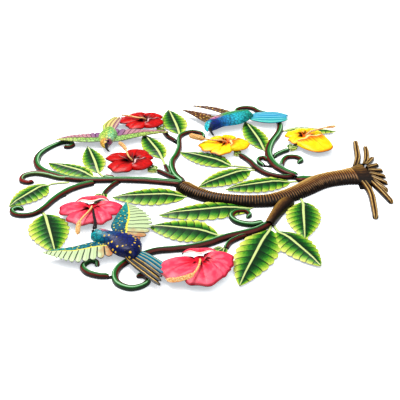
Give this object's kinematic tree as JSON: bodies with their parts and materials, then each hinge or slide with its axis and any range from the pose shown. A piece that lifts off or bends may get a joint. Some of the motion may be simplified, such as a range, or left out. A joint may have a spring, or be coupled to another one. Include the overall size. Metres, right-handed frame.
{
  "type": "tree of life wall relief",
  "caption": "Round openwork sheet-steel wall relief: a tree with roots, scrolling stems, leaves, hibiscus flowers and hummingbirds, hung on nails.",
  "frame": {"origin": "middle of the relief's box, on the plane of its back", "axes": "+Z out of the painted front, away from the wall; +Y from the roots to the crown; +X to the right as seen from the front"},
  "size_m": [0.6037, 0.6033, 0.031],
  "materials": {
    "bark_paint": "ochre to black-brown enamel on ribbed sheet steel, satin gloss",
    "stem_paint": "two-tone enamel, green with a mint line and a red-brown edge, gloss",
    "leaf_paint": "deep green to yellow-green enamel with a cream midrib, gloss",
    "pink_petal_paint": "pink to red enamel, gloss",
    "red_petal_paint": "red to maroon enamel, gloss",
    "yellow_petal_paint": "yellow to orange enamel, gloss",
    "pistil_paint": "cream and orange enamel, grainy at the tip",
    "blue_bird_paint": "navy and teal enamel with gold and cream brushwork, gloss",
    "green_bird_paint": "yellow-green, mint and purple enamel, gloss",
    "turquoise_bird_paint": "turquoise, blue and green enamel, brown wings, gloss",
    "black_back_paint": "black enamel, satin"
  },
  "bodies": {
    "root": {"trunk": "bark_paint", "left_branch": "bark_paint", "left_roots": "bark_paint", "middle_roots": "bark_paint", "right_roots": "bark_paint", "branch_collar": "stem_paint", "centre_stem": "stem_paint", "top_left_scroll": "stem_paint", "top_scroll": "stem_paint", "right_upper_stem": "stem_paint", "left_stem": "stem_paint", "left_scrolls": "stem_paint", "small_left_scroll": "stem_paint", "right_lower_stem": "stem_paint", "right_middle_stem": "stem_paint", "right_curls": "stem_paint", "pink_stalk_1": "stem_paint", "pink_stalk_2": "stem_paint", "red_stalk_1": "stem_paint", "red_stalk_2": "stem_paint", "yellow_stalk_2": "stem_paint", "top_right_twig": "stem_paint", "leaf_1": "leaf_paint", "leaf_2": "leaf_paint", "leaf_3": "leaf_paint", "leaf_4": "leaf_paint", "leaf_5": "leaf_paint", "leaf_6": "leaf_paint", "leaf_7": "leaf_paint", "leaf_8": "leaf_paint", "leaf_9": "leaf_paint", "leaf_10": "leaf_paint", "leaf_11": "leaf_paint", "leaf_12": "leaf_paint", "leaf_13": "leaf_paint", "leaf_14": "leaf_paint", "leaf_15": "leaf_paint", "leaf_16": "leaf_paint", "leaf_17": "leaf_paint", "pink_flower_1": "pink_petal_paint", "pink_flower_2": "pink_petal_paint", "red_flower_1": "red_petal_paint", "red_flower_2": "red_petal_paint", "yellow_flower_1": "yellow_petal_paint", "yellow_flower_2": "yellow_petal_paint", "pink_pistils": "pistil_paint", "red_pistils": "pistil_paint", "yellow_pistils": "pistil_paint", "bird_1_body": "blue_bird_paint", "bird_1_wings": "blue_bird_paint", "bird_1_tail": "blue_bird_paint", "bird_2_body": "green_bird_paint", "bird_2_wings": "green_bird_paint", "bird_2_tail": "green_bird_paint", "bird_3_body": "turquoise_bird_paint", "bird_3_wings": "turquoise_bird_paint", "bird_3_tail": "turquoise_bird_paint", "bird_studs": "black_back_paint", "hanger_straps": "black_back_paint"}
  },
  "joints": []
}
